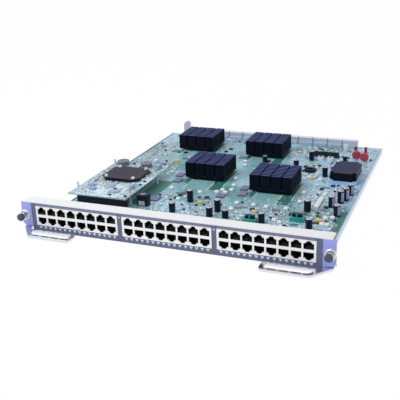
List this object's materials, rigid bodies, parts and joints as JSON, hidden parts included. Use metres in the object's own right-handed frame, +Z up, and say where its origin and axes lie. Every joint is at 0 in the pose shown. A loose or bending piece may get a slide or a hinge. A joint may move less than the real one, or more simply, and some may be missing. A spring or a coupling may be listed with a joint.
{
  "type": "switch line card",
  "caption": "Rack switch line card: a front panel of modular sockets, a populated board with heat sinks on a folded tray, swinging ejector levers and captive thumbscrews.",
  "frame": {"origin": "middle of the card's footprint, on the plane that the tray stands on", "axes": "+X to the right along the front panel, +Y from the panel to the backplane connectors, +Z up from the tray"},
  "size_m": [0.4004, 0.464, 0.0382],
  "materials": {
    "lavender_paint": "satin powder coat",
    "slate_film": "satin printed film",
    "tinned_steel": "tinned sheet",
    "gasket_cloth": "metallised cloth",
    "black_moulding": "moulded",
    "zinc_sheet": "zinc-plated sheet",
    "board_green": "solder mask on laminate",
    "black_anodised": "black anodised",
    "chip_black": "moulded",
    "chip_grey": "moulded",
    "nickel_plate": "bright nickel",
    "steel_bright": "bright",
    "white_nylon": "moulded nylon",
    "can_sleeve": "shrink sleeve on aluminium",
    "grey_ferrite": "ferrite",
    "yellow_moulding": "moulded",
    "teal_moulding": "moulded",
    "red_coating": "dipped epoxy",
    "converter_blue": "laminate",
    "connector_grey": "moulded"
  },
  "bodies": {
    "card": {"backplane_connectors": "connector_grey", "base_tray": "zinc_sheet", "bead_capacitors": "yellow_moulding", "board_posts": "steel_bright", "board_socket": "black_moulding", "choke_block": "black_moulding", "converter_base": "converter_blue", "daughter_board": "board_green", "daughter_chips": "chip_black", "daughter_plug": "black_moulding", "daughter_posts": "white_nylon", "electrolytic_cans": "can_sleeve", "filter_chokes": "teal_moulding", "front_panel": "lavender_paint", "fuse_posts": "red_coating", "guide_post": "connector_grey", "heat_sink_1": "black_anodised", "heat_sink_2": "black_anodised", "heat_sink_3": "black_anodised", "heat_sink_4": "black_anodised", "jack_body_1": "black_moulding", "jack_body_2": "black_moulding", "jack_body_3": "black_moulding", "jack_shield_1": "tinned_steel", "jack_shield_2": "tinned_steel", "jack_shield_3": "tinned_steel", "jack_webs_1": "black_moulding", "jack_webs_2": "black_moulding", "jack_webs_3": "black_moulding", "lever_brackets": "zinc_sheet", "logic_chips": "chip_grey", "main_board": "board_green", "panel_overlay": "slate_film", "power_converter": "black_moulding", "processor_chip": "chip_black", "processor_sink": "black_anodised", "push_pins": "white_nylon", "regulator_board": "board_green", "regulator_coils": "white_nylon", "round_coils": "grey_ferrite", "screw_collars": "nickel_plate", "surge_discs": "red_coating", "switch_chips": "chip_black", "top_gasket": "gasket_cloth", "white_headers": "white_nylon"},
    "lever_left": {"lever_left": "nickel_plate"},
    "lever_right": {"lever_right": "nickel_plate"},
    "left_carriage": {"spring_left": "steel_bright", "washer_left": "steel_bright"},
    "right_carriage": {"spring_right": "steel_bright", "washer_right": "steel_bright"},
    "left_knob": {"thumbscrew_left": "steel_bright", "knob_left": "black_moulding"},
    "right_knob": {"thumbscrew_right": "steel_bright", "knob_right": "black_moulding"}
  },
  "joints": [
    {"name": "left_lever_swing", "type": "hinge", "parent": "card", "child": "lever_left", "pos_m": [-0.1925, -0.198, 0.0026], "axis": [0, 0, -1], "range_deg": [0, 70]},
    {"name": "right_lever_swing", "type": "hinge", "parent": "card", "child": "lever_right", "pos_m": [0.1925, -0.198, 0.0026], "axis": [0, 0, 1], "range_deg": [0, 70]},
    {"name": "left_screw_press", "type": "slide", "parent": "card", "child": "left_carriage", "axis": [0, 1, 0], "range_m": [0, 0.005], "stiffness_N_per_m": 300, "springref_m": -0.004, "deforming": ["spring_left"]},
    {"name": "left_screw_turn", "type": "hinge", "parent": "left_carriage", "child": "left_knob", "pos_m": [-0.1938, -0.218, 0.0206], "axis": [0, 1, 0], "continuous": true},
    {"name": "right_screw_press", "type": "slide", "parent": "card", "child": "right_carriage", "axis": [0, 1, 0], "range_m": [0, 0.005], "stiffness_N_per_m": 300, "springref_m": -0.004, "deforming": ["spring_right"]},
    {"name": "right_screw_turn", "type": "hinge", "parent": "right_carriage", "child": "right_knob", "pos_m": [0.1938, -0.218, 0.0206], "axis": [0, 1, 0], "continuous": true}
  ]
}
